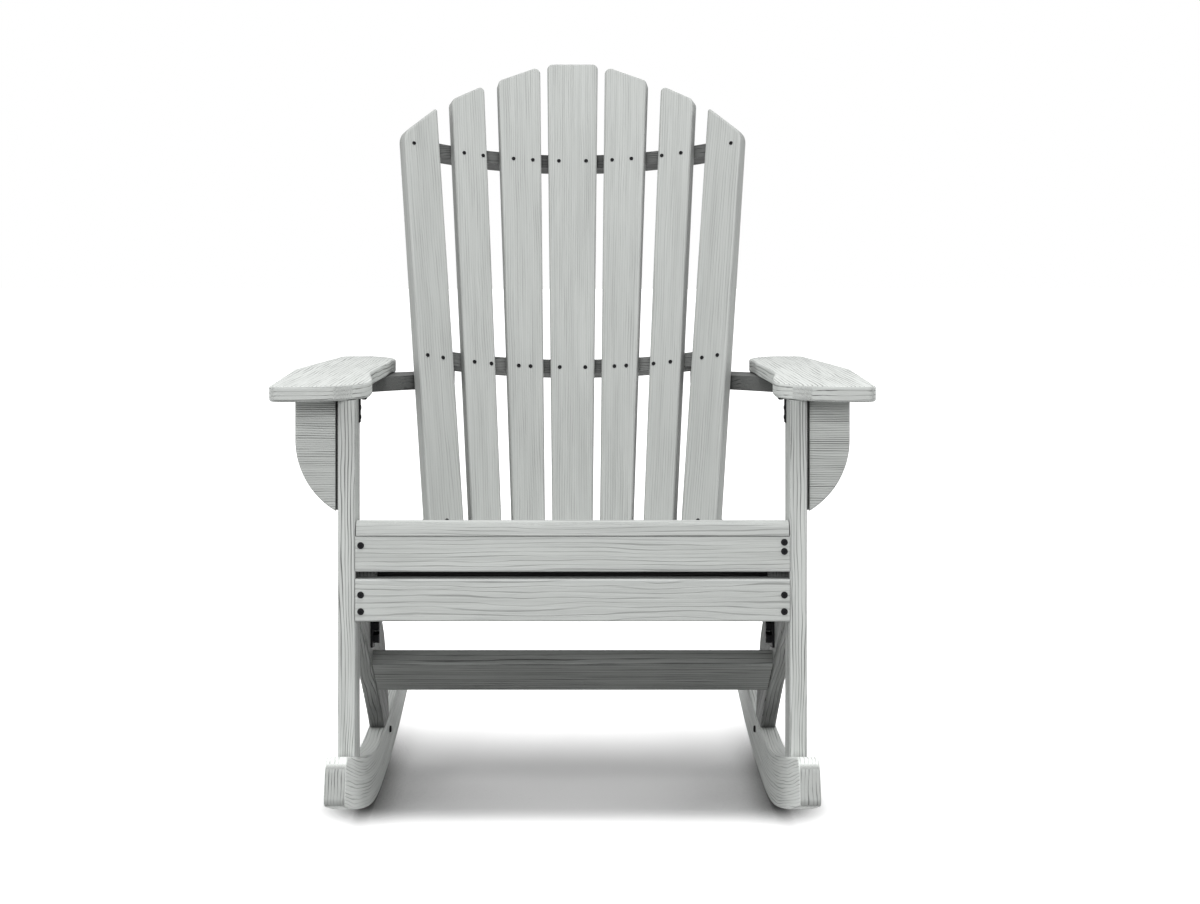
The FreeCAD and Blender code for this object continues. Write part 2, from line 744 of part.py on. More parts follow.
def arm_angle_y():
    """Middle of the steel angle, which sits at the rear edge of the leg."""
    return leg_depth - edge_round - angle_width / 2


def arm_angle():
    """Small steel angle between the inner face of the leg and the underside of the arm."""
    y_from = arm_angle_y() - angle_width / 2
    inner_x = arm_paddle_inner_x + arm_edge_round
    upright = Part.makeBox(angle_thick, angle_width, angle_leg,
                           Vector(side_inner_x - angle_thick, y_from, arm_under_z - angle_leg))
    flat = Part.makeBox(side_inner_x - inner_x, angle_width, angle_thick,
                        Vector(inner_x, y_from, arm_under_z - angle_thick))
    return upright.fuse(flat).removeSplitter()


def corner_plate():
    """Steel corner plate on the strut's inner face, turned in below the side rail."""
    rear_y = corner_plate_y + corner_plate_width
    rail_line = rail_bottom_line()
    top_front, top_rear = rail_line(corner_plate_y), rail_line(rear_y)
    plate = extrude_x(polygon_face([
        yz(corner_plate_y, top_front - corner_plate_height), yz(rear_y, top_rear - corner_plate_height),
        yz(rear_y, top_rear), yz(corner_plate_y, top_front)]), side_inner_x - steel_thick, side_inner_x)
    flange = extrude_x(polygon_face([
        yz(corner_plate_y, top_front - steel_thick), yz(rear_y, top_rear - steel_thick),
        yz(rear_y, top_rear), yz(corner_plate_y, top_front)]), rail_inner_x, side_inner_x)
    return plate.fuse(flange).removeSplitter()


def rail_bottom_line():
    """Height of the side rail's lower edge at a place along it."""
    depth = side_rail_depth / math.cos(slope)
    end_z = seat_plane_z(side_rail_rear_y) - depth
    fall = (apron_bottom - end_z) / (side_rail_rear_y - board_thick)
    return lambda y: apron_bottom - (y - board_thick) * fall


def screw(size, length, place, direction, socket=0.0):
    """Fastener with its head at a place on a surface and its shank along a direction."""
    head_diameter, head_height, shank_diameter = size
    outward = direction * -1
    head = Part.makeCylinder(head_diameter / 2, head_height, place, outward)
    head = rounded(head, head_height * head_round_share, lambda edge: edge.Closed
                   and (edge.CenterOfMass - place).Length > head_height / 2)
    if socket:
        depth = head_height * socket_share
        pit = Part.makeCylinder(socket / 2, depth * 2, place + outward * (head_height - depth), outward)
        head = head.cut(pit)
    shank = Part.makeCylinder(shank_diameter / 2, length, place, direction)
    return head.fuse(shank).removeSplitter()


def hex_piece(width, height, place, direction, bore):
    """Hexagonal nut or bolt head with a bore, on a surface."""
    radius = width / math.sqrt(3)
    corners = [Vector(radius * math.cos(turn * math.pi / 3), radius * math.sin(turn * math.pi / 3), 0)
               for turn in range(6)]
    nut = polygon_face(corners).extrude(Vector(0, 0, height))
    if bore:
        nut = nut.cut(Part.makeCylinder(bore / 2, height * 3, Vector(0, 0, -height)))
    nut.Placement = FreeCAD.Placement(place, Rotation(Vector(0, 0, 1), direction))
    return nut


def washer(place, direction, bore):
    ring = Part.makeCylinder(washer_diameter / 2, washer_thick, place, direction)
    start = place - direction * washer_thick
    return ring.cut(Part.makeCylinder(bore / 2, washer_thick * 3, start, direction))


def rail_screws(rail_height, row):
    """Screws through the slats into one rail."""
    found = []
    height = rail_height - rail_screw_drops[row]
    for index in slat_indices:
        outside = 1 if index >= 0 else -1
        foot, side_way, back_way, length_way = slat_axes(index)
        for share in slat_screw_shares[row][abs(index)]:
            sideways = share * slat_half_width(index, height) * -outside
            place = foot + side_way * sideways + length_way * (height * slat_stretch(index))
            found.append(screw(small_screw, slat_thick + screw_bite, place, back_way, small_socket))
    return found


def seat_screws():
    """Two screws at each end of every seat board, their plain heads flush with it."""
    found = []
    for index in range(seat_slat_count + 1):
        start = index * (seat_slat_width + seat_slat_gap) - seat_overhang
        for share in seat_screw_shares:
            along = start + share * seat_slat_width
            for side in (-1, 1):
                place = yz(0, seat_front_z) + seat_along * along
                place = place + seat_normal * (seat_slat_thick - small_screw[1])
                place = place + across * (side * (rail_inner_x + seat_screw_inset))
                found.append(screw(small_screw, seat_slat_thick + screw_bite, place, seat_normal * -1))
    return found


def front_screws():
    """Screws through the front slat and the apron into the ends of the side rails."""
    x = side_inner_x - front_screw_inset
    found = []
    for side, shares in front_slat_screws.items():
        heights = [front_slat_bottom + front_slat_height * share for share in shares]
        heights += [apron_bottom + apron_height * share for share in apron_screw_shares]
        for height in heights:
            place = Vector(side * x, 0, height)
            found.append(screw(seat_screw, board_thick + screw_bite, place, Vector(0, 1, 0), seat_socket))
    return found


def frame_bolts():
    """Bolts, washers and nuts that clamp leg and strut to the side rail, for the right side."""
    leg_bolt_y = board_thick + screw_bite + bolt_gap + dome_bolt[2] / 2
    rail_mid = (apron_bottom + seat_front_z) / 2
    rise = side_rail_depth / 4
    places = [(leg_bolt_y, rail_mid - rise), (leg_bolt_y, rail_mid + rise)]
    low_line = rail_bottom_line()
    for behind in rail_bolt_places:
        y = leg_depth + behind
        places.append((y, low_line(y) + rail_bolt_rise))
    bolts, washers, nuts = [], [], []
    length = 2 * board_thick + nut_height + washer_thick + bolt_end
    for y, z in places:
        bolts.append(screw(dome_bolt, length, Vector(leg_outer_x, y, z), across * -1))
        inside = Vector(rail_inner_x, y, z)
        washers.append(washer(inside, across * -1, dome_bolt[2]))
        outside = inside - across * washer_thick
        nuts.append(hex_piece(nut_width, nut_height, outside, across * -1, dome_bolt[2]))
    return bolts, washers, nuts


def corner_bolts():
    """Hexagonal bolts through the steel corner plate into the strut, for the right side."""
    head, height, shank = hex_bolt
    y = corner_plate_y + corner_plate_width * corner_bolt_place
    top = rail_bottom_line()(y)
    found = []
    for share in corner_bolt_shares:
        place = Vector(side_inner_x - steel_thick, y, top - corner_plate_height * share)
        bolt = hex_piece(head, height, place, across * -1, 0)
        shank_solid = Part.makeCylinder(shank / 2, steel_thick + screw_bite, place, across)
        found.append(bolt.fuse(shank_solid).removeSplitter())
    return found


def foot_dowels():
    """Dowels between the rocker and the feet of leg and strut, for the right side."""
    found = []
    x = (side_inner_x + leg_outer_x) / 2
    for y in (leg_depth / 2, strut_foot_y + strut_foot_length / 2):
        base = rocker_point(y, 0.5) + across * x
        length = rocker_top_z(y) - base.z + screw_bite
        found.append(Part.makeCylinder(small_screw[2], length, base, Vector(0, 0, 1)))
    return found


def rocker_bolts():
    """Round head on the inner face of the right rocker, behind the strut's foot."""
    place = rocker_point(strut_foot_y + rocker_head_back, rocker_head_share) + across * rocker_inner_x
    return [screw(rocker_head, rocker_head_bite, place, across)]


def stretcher_screws():
    """Screws through the strut into the end of the stretcher, for the right side."""
    corner, direction, normal = stretcher_frame()
    found = []
    for share in stretcher_screw_shares:
        place = corner + direction * (stretcher_width * share) + normal * (board_thick / 2)
        place = place + across * leg_outer_x
        found.append(screw(seat_screw, board_thick + 2 * screw_bite, place, across * -1, seat_socket))
    return found


def arm_screws():
    """Screws up into the arm, through the steel angle and through the rear bar."""
    radius, front_y = level_back_radius()
    reach = radius + slat_thick
    up = Vector(0, 0, 1)
    found = []
    for shift, share in arm_bar_screw_shares:
        place_x = arm_heel_x + (arm_bar_outer_x - arm_heel_x) * share
        y = front_y - radius + math.sqrt((reach + arm_bar_depth * shift) ** 2 - place_x ** 2)
        place = Vector(place_x, y, arm_under_z - board_thick)
        found.append(screw(small_screw, board_thick + arm_screw_bite, place, up, small_socket))
    angle_x = (arm_paddle_inner_x + side_inner_x) / 2
    length = angle_thick + arm_screw_bite
    place = Vector(angle_x, arm_angle_y(), arm_under_z - angle_thick)
    found.append(screw(small_screw, length, place, up, small_socket))
    for share in angle_screw_shares:
        place = Vector(side_inner_x - angle_thick, arm_angle_y(), arm_under_z - angle_leg * share)
        found.append(screw(small_screw, length, place, across, small_socket))
    return found


def bracket_dowels():
    """Dowels between the leg and the edge of the arm bracket, for the right side."""
    y = bracket_set_back + (bracket_groove_depth + board_thick) / 2
    start_x = leg_outer_x - screw_bite
    return [Part.makeCylinder(small_screw[0] / 2, 2 * screw_bite,
                              Vector(start_x, y, arm_under_z - bracket_height * share), across)
            for share in bracket_dowel_shares]


def block_screws():
    """Screws up through bar and block into the end of the middle back rail."""
    x = sum(arm_block_span()) / 2
    y = arm_block_front_y() + arm_block_depth * block_screw_share
    place = Vector(x, y, arm_under_z - board_thick)
    return [screw(small_screw, board_thick + block_screw_bite, place, Vector(0, 0, 1), small_socket)]


def both_sides(solids):
    return solids + [mirrored(solid) for solid in solids]


def wooden_parts():
    """Every board of the chair by name."""
    slats = {index: back_slat(index) for index in slat_indices}
    slat_list = list(slats.values())
    middle_rail = curved_rail(middle_rail_height, slat_list)
    parts = {}
    right = {
        "rocker": rocker(),
        "front_leg": front_leg(),
        "rear_strut": rear_strut(),
        "seat_side_rail": side_rail(),
        "arm": arm(),
        "arm_bracket": arm_bracket(),
        "arm_rear_bar": arm_rear_bar(slat_list),
        "arm_rear_block": arm_rear_block(slat_list),
    }
    for name, shape in right.items():
        parts[name + "_right"] = shape
        parts[name + "_left"] = mirrored(shape)
    for index in range(seat_slat_count):
        parts["seat_slat_%d" % (index + 1)] = seat_slat(index)
    parts["seat_rear_slat"] = seat_rear_slat()
    parts["seat_front_slat"] = seat_front_slat()
    parts["seat_cross_rail"] = seat_cross_rail()
    parts["front_apron"] = front_apron()
    parts["stretcher"] = stretcher()
    for index, slat in slats.items():
        parts["back_slat_%d" % (index + last_slat + 1)] = slat
    parts["upper_back_rail"] = curved_rail(upper_rail_height, slat_list)
    parts["middle_back_rail"] = middle_rail
    parts["lower_back_rail"] = lower_rail_blank().cut(slat_list)
    return parts


def steel_parts():
    parts = {}
    for name, shape in (("arm_angle", arm_angle()), ("strut_corner_plate", corner_plate())):
        parts[name + "_right"] = shape
        parts[name + "_left"] = mirrored(shape)
    return parts


def fasteners():
    """Groups of like fasteners, each a list of separate solids."""
    bolts, washers, nuts = frame_bolts()
    return {
        "upper_rail_screws": rail_screws(upper_rail_height, "upper"),
        "middle_rail_screws": rail_screws(middle_rail_height, "middle"),
        "lower_rail_screws": rail_screws(lower_rail_height, "lower"),
        "seat_slat_screws": seat_screws(),
        "front_board_screws": front_screws(),
        "frame_bolts": both_sides(bolts),
        "frame_washers": both_sides(washers),
        "frame_nuts": both_sides(nuts),
        "corner_plate_bolts": both_sides(corner_bolts()),
        "foot_dowels": both_sides(foot_dowels()),
        "rocker_bolts": both_sides(rocker_bolts()),
        "stretcher_screws": both_sides(stretcher_screws()),
        "arm_screws": both_sides(arm_screws()),
        "arm_bracket_dowels": both_sides(bracket_dowels()),
        "arm_block_screws": both_sides(block_screws()),
    }


def drilled(shape, groups):
    """Shape with a hole for each fastener that enters it."""
    box = shape.BoundBox
    near = [solid for group in groups for solid in group if box.intersect(solid.BoundBox)]
    return shape.cut(near) if near else shape


def export(name, solids, shift):
    shape = solids[0] if len(solids) == 1 else Part.makeCompound(solids)
    shape = shape.copy()
    shape.translate(shift)
    shape.exportStep("parts/%s.step" % name)


def main():
    os.makedirs("parts", exist_ok=True)
    groups = fasteners()
    boards = {**wooden_parts(), **steel_parts()}
    reach = boards["rocker_right"].optimalBoundingBox(False)
    shift = yz(-(reach.YMin + reach.YMax) / 2, -reach.ZMin)
    print("shift", shift)
    for name, board in boards.items():
        solids = drilled(board, groups.values()).Solids
        if len(solids) != 1:
            print("pieces", name, [round(solid.Volume, 1) for solid in solids])
        export(name, solids, shift)
    for name, solids in groups.items():
        export(name, solids, shift)
    print("nodes", len(boards) + len(groups))


main()
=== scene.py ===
import bpy
import json
import math
from mathutils import Matrix, Vector

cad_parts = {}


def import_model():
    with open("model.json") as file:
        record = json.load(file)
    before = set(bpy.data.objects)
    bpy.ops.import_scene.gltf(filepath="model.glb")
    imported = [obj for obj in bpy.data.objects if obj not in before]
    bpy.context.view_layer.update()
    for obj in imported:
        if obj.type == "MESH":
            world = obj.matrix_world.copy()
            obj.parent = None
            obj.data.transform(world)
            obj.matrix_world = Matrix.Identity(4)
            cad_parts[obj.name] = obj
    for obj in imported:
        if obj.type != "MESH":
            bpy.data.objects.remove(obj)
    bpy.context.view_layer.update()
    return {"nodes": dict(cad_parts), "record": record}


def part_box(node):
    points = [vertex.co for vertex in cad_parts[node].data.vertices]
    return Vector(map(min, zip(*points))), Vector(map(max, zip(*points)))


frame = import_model()

# Photograph: image size, the chair's middle, the horizon and the focal length in pixels
IMAGE_WIDTH, IMAGE_HEIGHT = 1200, 904
MIDDLE_PX = 572.5
HORIZON_PX = 244.0
FOCAL_PX = 1900.0
SENSOR_MM = 36.0
LEG_SCALE = 1.265          # millimetres for each pixel at the front face of the front legs
MM_PER_METRE = 1000
CAMERA_HEIGHT = 0.775
CAMERA_REACH = 100

# Directions in the chair's axes
ACROSS = (1, 0, 0)
LENGTHWISE = (0, 1, 0)
UPRIGHT = (0, 0, 1)
FORWARD = (0, -1, 0)
SEAT_SLOPE = math.radians(10.5)
SEAT_ALONG = (0, math.cos(SEAT_SLOPE), -math.sin(SEAT_SLOPE))
STRUT_FALL = (0, 0.83, -0.56)
SLAT_END_SHARE = 0.12              # share of a slat's height that counts as its end
# The rockers' curve: twice its radius in front at the low point, what that grows for each
# metre, and twice its radius behind
ROCKER_BEND = (1.01, 2.12, 5.2)
# How far a face's normal has to point out of a board's face or end, to count none and fully
BROAD_FACE = (0.45, 0.8)
END_FACE = (0.6, 0.85)

# Colours as linear values
PAINT_LIGHT = (0.610, 0.630, 0.612)
PAINT_DARK = (0.300, 0.310, 0.300)
# The groove colour of the growth lines, also the colour that painted shade darkens wood towards
GROOVE_AND_SHADE = (0.070, 0.072, 0.070)
STEEL = (0.005, 0.005, 0.006)
STEEL_WORN = (0.10, 0.10, 0.10)
BARE_WOOD = (0.50, 0.36, 0.22)
FLOOR_PALE = (0.95, 0.95, 0.95)
# Floor colours: painted shade near the chair and a painted contact shadow where the rockers
# touch
FLOOR_SHADED = (0.12, 0.12, 0.12)
FLOOR_CONTACT_SHADOW = (0.02, 0.02, 0.02)
FLOOR_UNSEEN = (0.3, 0.3, 0.3)     # for the light that the floor throws back on the chair
WHITE = (1, 1, 1)

# Noise cells for each metre along, across and through a board
SLOW_WAVE = (4.0, 22.0, 22.0)
QUICK_WAVE = (12.0, 60.0, 60.0)
LINE_WIDTHS = (9.0, 90.0, 90.0)
LINE_FADING = (7.0, 110.0, 110.0)
FIBRES = (16.0, 900.0, 900.0)
STREAKS = (4.0, 160.0, 160.0)
CLOUDS = (3.0, 9.0, 9.0)
BARE_GRAIN = (600, 600, 30)        # this one and the next along the chair's X, Y and Z
STEEL_GRAIN = (420, 420, 420)
SEED_SHIFT = (1.7, 0.37, 0.11)     # metres from one board's pattern to the next one's

# Spans: two levels of a pattern, and what they become where that isn't 0 and 1
LINE_EDGE = (0.3, 0.7, 0.22, 0.42)
LINE_PEAK = 0.5
LINE_PRESENCE = (0.35, 0.62, 0.3, 1.0)
STREAK_SPAN = (0.35, 0.7)
FIBRE_SPAN = (0.42, 0.72)
CLOUD_SPAN = (0.3, 0.7)
WOOD_ROUGHNESS = (0.2, 0.8, 0.55, 0.76)
BARE_ROUGHNESS = (0.2, 0.8, 0.5, 0.7)
STEEL_ROUGHNESS = (0.3, 0.7, 0.5, 0.75)
STEEL_WEAR = (0.56, 0.72, 0.0, 0.35)
# The next two spans map the floor's openness to painted shade and a painted contact shadow
FLOOR_SHADE = (0.05, 0.8)
FLOOR_CONTACT_SHADOW_SPAN = (0.3, 0.95, 0.75, 0.0)

# How strongly the patterns show
SLOW_SHARE, QUICK_SHARE = 4.0, 0.6  # lines that the waves shift the growth lines by
CLOUD_SHARE = 0.08
END_LINES = 0.95                   # strength of the growth lines on the boards' ends
FIBRE_HEIGHT = 0.3
# Painted shade in corners: its reach, and the openness below which it is full
CORNER_SHADE_REACH, CORNER_SHADE_FULL = 0.03, 0.1
WOOD_BUMP, WOOD_BUMP_HEIGHT = 0.6, 0.0012
STEEL_BUMP, STEEL_BUMP_HEIGHT = 0.25, 0.0003
WOOD_GLOSS = 0.3
STEEL_GLOSS = 0.12
AO_SAMPLES = 8

# Floor and light
FLOOR_HALF = 30.0
# Reaches of the floor's painted shade and painted contact shadow
FLOOR_SHADE_REACH, FLOOR_CONTACT_SHADOW_REACH = 0.22, 0.05
# Painted light: a faint even glow lifts the floor's shadows, and outside the shadow's room below
# the floor glows white and paints out the chair's shadows
FLOOR_GLOW = 0.03
SHADOW_FRONT, SHADOW_REAR = -0.13, 0.50
SHADOW_FRONT_FADE = (-0.1, 0.03)
SHADOW_REAR_FADE = -0.45
SHADOW_SIDE_FADE = (0.03, 0.13)    # outwards from the rockers' inner faces
SOFT_LIGHT = 0.37
LAMPS = (                          # name, place, target, size and power
    ("overhead", (0, -0.75, 3.4), (0, 0, 0.3), 1.3, 67),
    ("front", (-0.4, -3.9, 2.3), (0, 0, 0.5), 2.0, 80),
    ("side", (-3.0, -0.9, 1.2), (0, -0.1, 0.35), 1.6, 24),
    ("side", (3.0, -0.9, 1.2), (0, -0.1, 0.35), 1.6, 24),
)


class Wood:
    """How the wood of one kind of board looks.

    along and face are the directions of the grain and out of the broad face. shade scales
    the colours as painted light and shade: a kind is made darker or lighter to stand in for
    how light falls on it. pitch is the distance between growth lines in metres, lines their
    strength and wave how far they wander. fibre is the strength of streaks and fibres. The
    value after fibre is painted shade in corners: the openness from which a spot has none,
    and the darkening of the tightest corners. end is the darkening of the end faces, partly
    darker end grain and partly painted shade. The value after end is painted shade along
    the board: a stretch where it darkens, and how much. low_y is the low point of a curved
    board, whose lines then bend.
    """

    def __init__(self, along, face, shade, pitch=0.0045, lines=0.5, wave=1.6, fibre=0.18,
                 dirt=0.65, end=0.1, fade=None, low_y=None):
        self.along, self.face, self.shade = along, face, shade
        self.pitch, self.lines, self.wave, self.fibre = pitch, lines, wave, fibre
        self.dirt, self.end, self.fade, self.low_y = dirt, end, fade, low_y


def camera():
    data = bpy.data.cameras.new("camera")
    data.sensor_width = SENSOR_MM
    data.lens = FOCAL_PX / IMAGE_WIDTH * SENSOR_MM
    data.shift_x = (IMAGE_WIDTH / 2 - MIDDLE_PX) / IMAGE_WIDTH
    data.shift_y = -(IMAGE_HEIGHT / 2 - HORIZON_PX) / IMAGE_WIDTH
    data.clip_end = CAMERA_REACH
    view = bpy.data.objects.new("camera", data)
    leg_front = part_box("front_leg_left")[0].y
    view.location = (0, leg_front - LEG_SCALE * FOCAL_PX / MM_PER_METRE, CAMERA_HEIGHT)
    view.rotation_euler = (math.radians(90), 0, 0)
    bpy.context.scene.collection.objects.link(view)
    bpy.context.scene.camera = view


def new_material(name):
    """Empty material with its shader node linked to its output, and its graph."""
    material = bpy.data.materials.new(name)
    material.use_nodes = True
    material.node_tree.nodes.clear()
    graph = Graph(material.node_tree)
    output = graph.add("ShaderNodeOutputMaterial")
    shader = graph.add("ShaderNodeBsdfPrincipled")
    graph.link(shader.outputs["BSDF"], output.inputs["Surface"])
    return material, shader, graph


class Graph:
    """Short calls for the nodes that the materials share."""

    def __init__(self, tree):
        self.tree = tree

    def add(self, kind, **settings):
        node = self.tree.nodes.new(kind)
        for key, value in settings.items():
            setattr(node, key, value)
        return node

    def link(self, start, end):
        self.tree.links.new(start, end)

    def math(self, operation, *values):
        node = self.add("ShaderNodeMath", operation=operation)
        for slot, value in enumerate(values):
            if isinstance(value, (int, float)):
                node.inputs[slot].default_value = value
            else:
                self.link(value, node.inputs[slot])
        return node.outputs[0]

    def mapped(self, vector, kind="POINT", **settings):
        """Vector moved, turned or scaled by a Mapping node's sockets."""
        node = self.add("ShaderNodeMapping", vector_type=kind)
        for key, value in settings.items():
            node.inputs[key].default_value = value
        self.link(vector, node.inputs["Vector"])
        return node.outputs["Vector"]

    def split(self, vector):
        node = self.add("ShaderNodeSeparateXYZ")
        self.link(vector, node.inputs["Vector"])
        return node.outputs["X"], node.outputs["Y"], node.outputs["Z"]

    def joined(self, *values):
        node = self.add("ShaderNodeCombineXYZ")
        for value, goal in zip(values, "XYZ"):
            self.link(value, node.inputs[goal])
        return node.outputs["Vector"]

    def noise(self, vector, waves, detail=2.0, roughness=0.5):
        node = self.add("ShaderNodeTexNoise")
        node.inputs["Scale"].default_value = 1.0
        node.inputs["Detail"].default_value = detail
        node.inputs["Roughness"].default_value = roughness
        self.link(self.mapped(vector, Scale=waves), node.inputs["Vector"])
        return node.outputs["Fac"]

    def span(self, value, low, high, to_low=0.0, to_high=1.0):
        """Smooth step of a value between two levels, which may be sockets."""
        node = self.add("ShaderNodeMapRange", interpolation_type="SMOOTHSTEP")
        self.link(value, node.inputs["Value"])
        levels = (("From Min", low), ("From Max", high), ("To Min", to_low), ("To Max", to_high))
        for key, level in levels:
            if isinstance(level, (int, float)):
                node.inputs[key].default_value = level
            else:
                self.link(level, node.inputs[key])
        return node.outputs["Result"]

    def mix(self, share, first, second, kind="RGBA"):
        """Mix of two colours, numbers or vectors."""
        slots = {"FLOAT": (2, 3, 0), "VECTOR": (4, 5, 1), "RGBA": (6, 7, 2)}
        first_slot, second_slot, result = slots[kind]
        node = self.add("ShaderNodeMix", data_type=kind)
        self.link(share, node.inputs["Factor"])
        for slot, value in ((first_slot, first), (second_slot, second)):
            if isinstance(value, tuple):
                node.inputs[slot].default_value = (*value, 1)
            else:
                self.link(value, node.inputs[slot])
        return node.outputs[result]

    def openness(self, distance):
        """1 on an open surface, falling to 0 in corners within a distance."""
        node = self.add("ShaderNodeAmbientOcclusion", samples=AO_SAMPLES)
        node.inputs["Distance"].default_value = distance
        return node.outputs["AO"]

    def bump(self, shader, height, strength, distance):
        node = self.add("ShaderNodeBump")
        node.inputs["Strength"].default_value = strength
        node.inputs["Distance"].default_value = distance
        self.link(height, node.inputs["Height"])
        self.link(node.outputs["Normal"], shader.inputs["Normal"])


def board_turn(along, face):
    """Rotation from the chair's axes to a board's: X along the grain, Z out of its face."""
    along = Vector(along).normalized()
    face = (Vector(face) - along * Vector(face).dot(along)).normalized()
    side = face.cross(along)
    return Matrix((along, side, face)).to_euler()


def rocker_rise(graph, from_low):
    """Height of the rocker's curve at a distance from its low point, negative in front."""
    middle, front, rear = ROCKER_BEND
    ahead = graph.math("MINIMUM", from_low, 0.0)
    behind = graph.math("MAXIMUM", from_low, 0.0)
    spread = graph.math("MULTIPLY_ADD", ahead, -front, middle)
    ahead_rise = graph.math("DIVIDE", graph.math("MULTIPLY", ahead, ahead), spread)
    behind_rise = graph.math("DIVIDE", graph.math("MULTIPLY", behind, behind), rear)
    return graph.math("ADD", ahead_rise, behind_rise)


def board_axes(graph, wood, seed):
    """Coordinates for a board's patterns, the course of its lines, its ends and X along it.

    The course runs across the broad faces and through the board on the others. On the end
    faces the coordinates along and across are swapped, so that streaks run across the end.
    """
    place = graph.add("ShaderNodeTexCoord")
    turn = board_turn(wood.along, wood.face)
    shift = tuple(seed * step for step in SEED_SHIFT)
    turned = graph.mapped(place.outputs["Object"], Rotation=turn)
    local = graph.mapped(turned, Location=shift)
    normal = graph.mapped(place.outputs["Normal"], "NORMAL", Rotation=turn)
    along, straight, through = graph.split(local)
    way_along, _, way_through = graph.split(normal)
    across = straight
    if wood.low_y is not None:
        from_low = graph.math("SUBTRACT", along, shift[0] + wood.low_y)
        across = graph.math("SUBTRACT", straight, rocker_rise(graph, from_low))
        local = graph.joined(along, across, through)
    broad = graph.span(graph.math("ABSOLUTE", way_through), *BROAD_FACE)
    course = graph.mix(broad, through, across, "FLOAT")
    end = graph.span(graph.math("ABSOLUTE", way_along), *END_FACE)
    swapped = graph.joined(straight, along, through)
    pattern = graph.mix(end, local, swapped, "VECTOR")
    return pattern, course, end, along


def growth_lines(graph, pattern, course, wood):
    """Dark grooves between the growth rings, wavy and fading along the board."""
    slow = graph.math("MULTIPLY", graph.noise(pattern, SLOW_WAVE), wood.wave * SLOW_SHARE)
    quick = graph.math("MULTIPLY", graph.noise(pattern, QUICK_WAVE), wood.wave * QUICK_SHARE)
    count = graph.math("DIVIDE", course, wood.pitch)
    ring = graph.math("ADD", count, graph.math("ADD", slow, quick))
    ridge = graph.math("ABSOLUTE", graph.math("SUBTRACT", graph.math("FRACT", ring), 0.5))
    edge = graph.span(graph.noise(pattern, LINE_WIDTHS), *LINE_EDGE)
    fading = graph.span(graph.noise(pattern, LINE_FADING), *LINE_PRESENCE)
    return graph.math("MULTIPLY", graph.span(ridge, edge, LINE_PEAK), fading)


def shaded(colour, shade):
    return tuple(channel * shade for channel in colour)


def board_material(name, wood, seed):
    """Pale grey brushed wood whose growth lines run along the board."""
    material, shader, graph = new_material(name)
    pattern, course, end, along = board_axes(graph, wood, seed)
    line = growth_lines(graph, pattern, course, wood)
    fibre = graph.noise(pattern, FIBRES, detail=3.0, roughness=0.6)
    streak = graph.noise(pattern, STREAKS)
    cloud = graph.noise(pattern, CLOUDS)

    streaked = graph.math("MULTIPLY", graph.span(streak, *STREAK_SPAN), wood.fibre)
    brushed = graph.math("MULTIPLY", graph.span(fibre, *FIBRE_SPAN), wood.fibre)
    clouded = graph.math("MULTIPLY", graph.span(cloud, *CLOUD_SPAN), CLOUD_SHARE)
    tone = graph.math("ADD", graph.math("ADD", streaked, brushed), clouded)
    # The groove colour stands for both the real grooves of the growth lines and painted shade
    groove_and_shade = shaded(GROOVE_AND_SHADE, wood.shade)
    # Painted light and shade: the paint is scaled by the kind's shade
    colour = graph.mix(tone, shaded(PAINT_LIGHT, wood.shade), shaded(PAINT_DARK, wood.shade))
    strength = graph.math("MULTIPLY_ADD", end, END_LINES - wood.lines, wood.lines)
    colour = graph.mix(graph.math("MULTIPLY", line, strength), colour, groove_and_shade)
    # Painted shade: corners within a short reach darken, the tighter the darker
    dirt = graph.span(graph.openness(CORNER_SHADE_REACH), CORNER_SHADE_FULL, wood.dirt, wood.dirt, 0.0)
    colour = graph.mix(dirt, colour, groove_and_shade)
    # End faces darken, partly darker end grain and partly painted shade, most on the rockers'
    # noses
    colour = graph.mix(graph.math("MULTIPLY", end, wood.end), colour, groove_and_shade)
    # Painted shade along the board: the front legs darken under the arms and the struts towards
    # their feet
    if wood.fade:
        start, finish, amount = wood.fade
        place = graph.math("SUBTRACT", along, seed * SEED_SHIFT[0])
        colour = graph.mix(graph.span(place, start, finish, 0.0, amount), colour, groove_and_shade)
    graph.link(colour, shader.inputs["Base Color"])
    graph.link(graph.span(streak, *WOOD_ROUGHNESS), shader.inputs["Roughness"])
    shader.inputs["Specular IOR Level"].default_value = WOOD_GLOSS

    grooves = graph.math("MULTIPLY", line, wood.lines)
    height = graph.math("SUBTRACT", graph.math("MULTIPLY", fibre, FIBRE_HEIGHT), grooves)
    graph.bump(shader, height, WOOD_BUMP, WOOD_BUMP_HEIGHT)
    return material


def steel_material():
    """Black coated steel, a little worn to grey."""
    material, shader, graph = new_material("black_steel")
    place = graph.add("ShaderNodeTexCoord").outputs["Object"]
    worn = graph.noise(place, STEEL_GRAIN, detail=4.0, roughness=0.65)
    colour = graph.mix(graph.span(worn, *STEEL_WEAR), STEEL, STEEL_WORN)
    graph.link(colour, shader.inputs["Base Color"])
    graph.link(graph.span(worn, *STEEL_ROUGHNESS), shader.inputs["Roughness"])
    shader.inputs["Specular IOR Level"].default_value = STEEL_GLOSS
    graph.bump(shader, worn, STEEL_BUMP, STEEL_BUMP_HEIGHT)
    return material


def bare_material():
    """Unpainted dowel wood."""
    material, shader, graph = new_material("raw_wood")
    place = graph.add("ShaderNodeTexCoord").outputs["Object"]
    grain = graph.noise(place, BARE_GRAIN, detail=3.0, roughness=0.6)
    graph.link(graph.mix(grain, BARE_WOOD, PAINT_DARK), shader.inputs["Base Color"])
    graph.link(graph.span(grain, *BARE_ROUGHNESS), shader.inputs["Roughness"])
    return material


